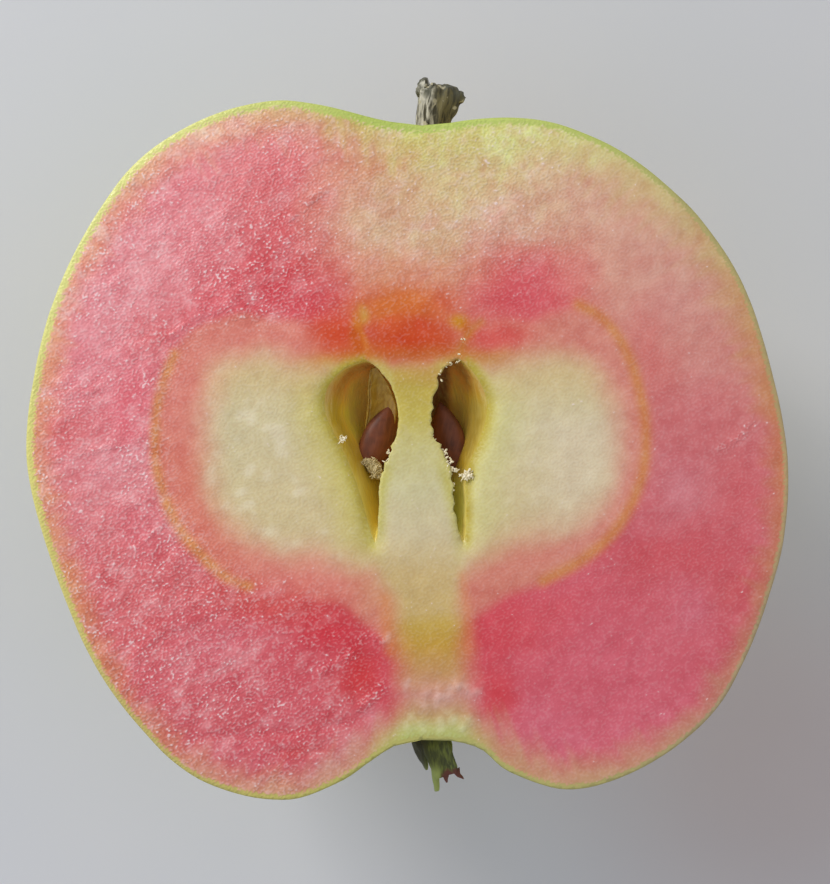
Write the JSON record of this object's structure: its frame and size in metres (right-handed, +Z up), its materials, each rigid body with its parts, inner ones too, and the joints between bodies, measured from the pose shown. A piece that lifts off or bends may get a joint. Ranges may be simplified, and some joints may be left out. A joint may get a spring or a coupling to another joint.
{
  "type": "apple half",
  "caption": "Larger half of a red-fleshed apple cut along its core, cut face up, with stem, dried calyx and two open seed chambers holding seeds.",
  "frame": {"origin": "on the surface it rests on, under the middle of the apple half's box", "axes": "+X across the cut face to the right cheek, +Y along the core towards the stem, +Z up, out of the cut face"},
  "size_m": [0.0772, 0.0728, 0.044],
  "materials": {
    "flesh": "moist apple flesh and waxy skin",
    "bark": "rough dry bark",
    "dry_leaf": "dried leaf, matt",
    "seed_coat": "smooth, half gloss"
  },
  "bodies": {
    "root": {"apple_half": "flesh", "stem": "bark", "calyx": "dry_leaf", "seed_left": "seed_coat", "seed_right": "seed_coat"}
  },
  "joints": []
}
